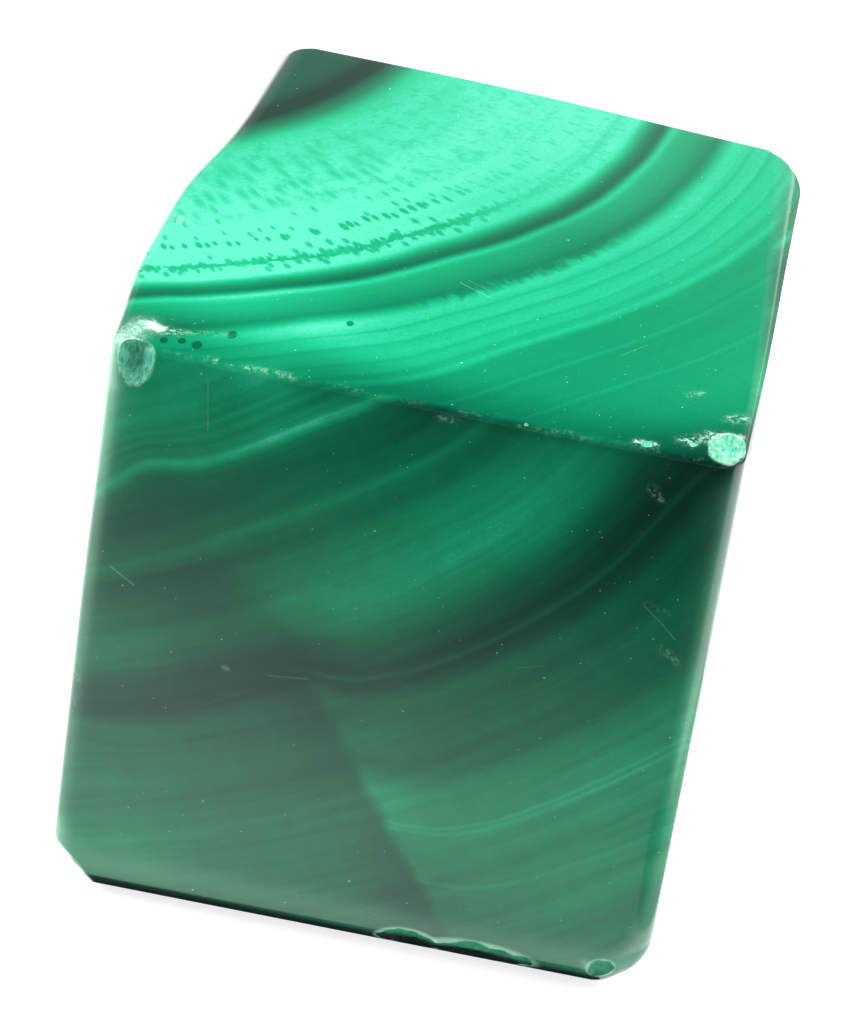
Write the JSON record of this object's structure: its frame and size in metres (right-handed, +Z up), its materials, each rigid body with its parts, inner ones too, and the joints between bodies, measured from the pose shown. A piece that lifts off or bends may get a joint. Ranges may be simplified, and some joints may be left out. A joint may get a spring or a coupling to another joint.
{
  "type": "tumbled malachite cube",
  "caption": "Polished cube of banded green malachite with rounded edges, chipped corners and curved growth bands.",
  "frame": {"origin": "centre of the footprint, at the level of the flat underside", "axes": "+Z up from the underside, -Y towards the front face whose bands run from lower left to upper right, +X to the right as seen from the front"},
  "size_m": [0.0206, 0.0238, 0.022],
  "materials": {
    "malachite": "polished, with curved bands from pale mint to blackish green and rough pale chips"
  },
  "bodies": {
    "root": {"malachite_cube": "malachite"}
  },
  "joints": []
}
